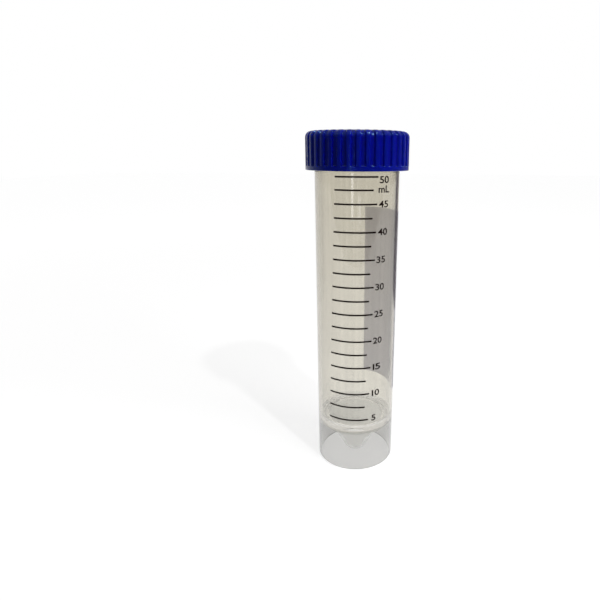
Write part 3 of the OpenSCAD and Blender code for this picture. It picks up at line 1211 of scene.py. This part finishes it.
@dataclass
class Studio:
    """The bench, the plain pale surroundings, the lamps and the camera.

    Lengths are in metres, but for the lens and its sensor, in millimetres. Angles are in radians.
    """

    white: str = "#FFFFFF"
    ambient: float = 0.49
    unlit: float = 0.12
    ceiling: float = 0.6
    ceiling_from: Point = (0.1, 0.7)
    backlight: float = 0.8
    backlight_from: Point = (0.1, 0.9)
    lit_way: tuple[float, float, float] = (-0.35, 0.9, 0.0)
    bench_half: float = 1.5
    bench_front: float = 0.3
    bench_gap: float = 0.00002
    bench_squares: int = 8
    bench_tones: tuple[str, str] = ("#B4B4B4", "#B8B8B8")
    bench_speck: float = 1 / 900
    bench_rough: float = 0.8
    bench_gloss: float = 0.1
    bench_lift: Point = (0.77, 0.84)
    lift_from: Point = (0.1, 0.6)
    flag_tone: str = "#8C8896"
    flag_rough: float = 0.9
    flag_place: tuple[float, float, float] = (0.134, 0.145, 0.09)
    flag_size: Point = (0.106, 0.18)
    camera_place: tuple[float, float, float] = (0.0, -0.1625, 0.1093)
    pitch: float = 0.2127
    roll: float = 0.0069
    lens: float = 28.41
    sensor: float = 36.0
    shift: Point = (-0.0941, -0.0706)
    clip: Point = (0.01, 20.0)
    bounces: tuple[int, int, int] = (40, 32, 32)
    lamps: tuple[Lamp, ...] = (
        Lamp("window", (0.5, -0.3, 0.3), (0.0, 0.0, 0.1), (0.35, 0.35), 4.5, mirrored=False),
        Lamp("spot", (0.2, -0.268, 0.488), (0.0, 0.0, 0.116), (0.022, 0.022), 480.0, mirrored=False),
        Lamp("glint", (0.2, -0.268, 0.488), (0.0, 0.0, 0.116), (0.014, 0.014), 3200.0, lights=False),
        Lamp("strip", (-0.081, -0.3914, 0.062), (0.0, 0.0, 0.062), (0.036, 0.058), 5.5),
        Lamp("strip_low", (0.05, -0.397, 0.045), (0.0, 0.0, 0.045), (0.05, 0.028), 2.6, lights=False),
    )

    def camera(self) -> None:
        """Builds the camera: it looks along +Y and down, level but for a slight roll."""
        sin, cos = math.sin(self.pitch), math.cos(self.pitch)
        ahead, up, side = Vector((0, cos, -sin)), Vector((0, sin, cos)), Vector((1, 0, 0))
        right = math.cos(self.roll) * side + math.sin(self.roll) * up
        top = -math.sin(self.roll) * side + math.cos(self.roll) * up
        data = bpy.data.cameras.new("camera")
        data.lens, data.sensor_width = self.lens, self.sensor
        data.shift_x, data.shift_y = self.shift
        data.clip_start, data.clip_end = self.clip
        camera = placed("camera", data)
        turn = Matrix((right, top, -ahead)).transposed()
        camera.matrix_world = Matrix.Translation(self.camera_place) @ turn.to_4x4()
        bpy.context.scene.camera = camera

    def surroundings(self) -> None:
        """Builds the world: white where it's seen, and a lower even light on the object.

        In the gloss it's a room that is dark in front and light above and behind.
        """
        world = bpy.data.worlds.new("surroundings")
        bpy.context.scene.world = world
        world.use_nodes = True
        tree = world.node_tree
        path = add(tree, "ShaderNodeLightPath").outputs
        way = add(tree, "ShaderNodeTexCoord").outputs["Generated"]
        height = add(tree, SPLIT, {0: way}).outputs["Z"]
        low, high = self.ceiling_from
        above = add(tree, RANGE, {"Value": height, "From Min": low, "From Max": high, "To Min": self.unlit,
                    "To Max": self.ceiling})
        toward = add(tree, VECTORS, {0: way, 1: self.lit_way}, operation="DOT_PRODUCT").outputs["Value"]
        low, high = self.backlight_from
        behind = add(tree, RANGE, {"Value": toward, "From Min": low, "From Max": high, "To Min": self.unlit,
                     "To Max": self.backlight})
        room = add(tree, MATH, {0: above, 1: behind}, operation="MAXIMUM")
        level = add(tree, MIX, {0: path["Is Glossy Ray"], 2: self.ambient, 3: 1.0})
        lit = add(tree, MATH, {0: level, 1: room}, operation="MULTIPLY")
        seen = add(tree, MATH, {0: path["Is Camera Ray"], 1: path["Is Transmission Ray"]},
                   operation="MAXIMUM")
        strength = add(tree, MIX, {0: seen, 2: lit, 3: 1.0})
        plug(tree, tree.nodes["Background"], {"Color": linear(self.white), "Strength": strength})

    def bench_top(self) -> Material:
        """Builds the bench's finish: white laminate, pressed, so it's smooth and matt with a faint speck.

        It's lifted to white only for the rays that show it, so it keeps the object's shadow.

        Returns:
            The material.
        """
        made, tree, shader, place = surface("white_laminate_bench")
        speck = add(tree, NOISE, {"Vector": place, "Scale": 1 / self.bench_speck, "Detail": 2.0})
        tones = [linear(tone) for tone in self.bench_tones]
        tone = add(tree, MIX, {0: speck, 6: tones[0], 7: tones[1]}, data_type="RGBA")
        away = add(tree, VECTORS, {0: place}, operation="LENGTH").outputs["Value"]
        (low, high), (near, far) = self.lift_from, self.bench_lift
        rise = add(tree, RANGE, {"Value": away, "From Min": low, "From Max": high, "To Min": near,
                   "To Max": far})
        path = add(tree, "ShaderNodeLightPath").outputs
        shown = add(tree, MATH, {0: path["Is Camera Ray"], 1: path["Is Glossy Ray"]}, operation="MAXIMUM")
        shown = add(tree, MATH, {0: shown, 1: path["Is Transmission Ray"]}, operation="MAXIMUM")
        lift = add(tree, MATH, {0: shown, 1: rise}, operation="MULTIPLY")
        plug(tree, shader, {
            "Base Color": tone.outputs[2], "Roughness": self.bench_rough,
            "Specular IOR Level": self.bench_gloss, "Emission Color": linear(self.white),
            "Emission Strength": lift,
        })
        return made

    def sheet(self, name: str, finish: Material, segments: int, place: Matrix) -> Object:
        """Builds a square metre of sheet that isn't part of the object.

        Args:
            name: Name of the sheet.
            finish: Its material.
            segments: Number of its squares along a side.
            place: Its place, turn and size.

        Returns:
            The sheet.
        """
        shape = bmesh.new()
        bmesh.ops.create_grid(shape, x_segments=segments, y_segments=segments, size=0.5, matrix=place)
        mesh = shaped(name, shape)
        mesh.materials.append(finish)
        sheet = placed(name, mesh)
        return sheet

    def bench(self) -> None:
        """Builds the bench top, a hair under the foot."""
        middle = Matrix.Translation((0.0, self.bench_half - self.bench_front, 0.0))
        place = middle @ Matrix.Scale(2 * self.bench_half, 4)
        bench = self.sheet("bench", self.bench_top(), self.bench_squares, place)
        bench.location.z = -self.bench_gap

    def flag(self) -> None:
        """Builds the grey card behind the tube's right side, which clear plastic shows as a dark edge."""
        made, tree, shader, _ = surface("grey_card_flag")
        plug(tree, shader, {"Base Color": linear(self.flag_tone), "Roughness": self.flag_rough})
        upright = Matrix.Rotation(math.pi / 2, 4, "X") @ Matrix.Diagonal((*self.flag_size, 1.0, 1.0))
        flag = self.sheet("flag", made, 1, Matrix.Translation(self.flag_place) @ upright)
        flag.visible_camera = flag.visible_diffuse = flag.visible_shadow = False

    def build(self) -> None:
        """Builds the camera first, then the surroundings, the bench, the flag and the lamps."""
        scene = bpy.context.scene
        self.camera()
        self.surroundings()
        self.bench()
        self.flag()
        for lamp in self.lamps:
            lamp.build()
        scene.view_settings.view_transform = "Standard"
        cycles = scene.cycles
        cycles.max_bounces, cycles.transmission_bounces, cycles.glossy_bounces = self.bounces


def main() -> None:
    """Builds the studio, the tube, its liner, its cap and its print."""
    logging.basicConfig(level=logging.INFO, format="%(name)s: %(message)s")
    Studio().build()
    lathe, ridge = lathe_tree(), ridge_tree()
    tube = TubeBody(ClearPolypropylene())
    tube.build(lathe, ridge)
    SealingLiner(LinerFoam()).build(lathe)
    ScrewCap(BluePolyethylene()).build(ribbed_tree(), ridge)
    black = PrintedInk("black_pad_printing_ink", "#1A0C07", "#140A06")
    white = PrintedInk("white_pad_printing_ink", "#F0EFF8", "#EBEAF3", through=0.72, ior=1.15)
    PrintedScale(black, white, tube).build(marks_tree(), wrap_tree())


if __name__ == "__main__":
    main()
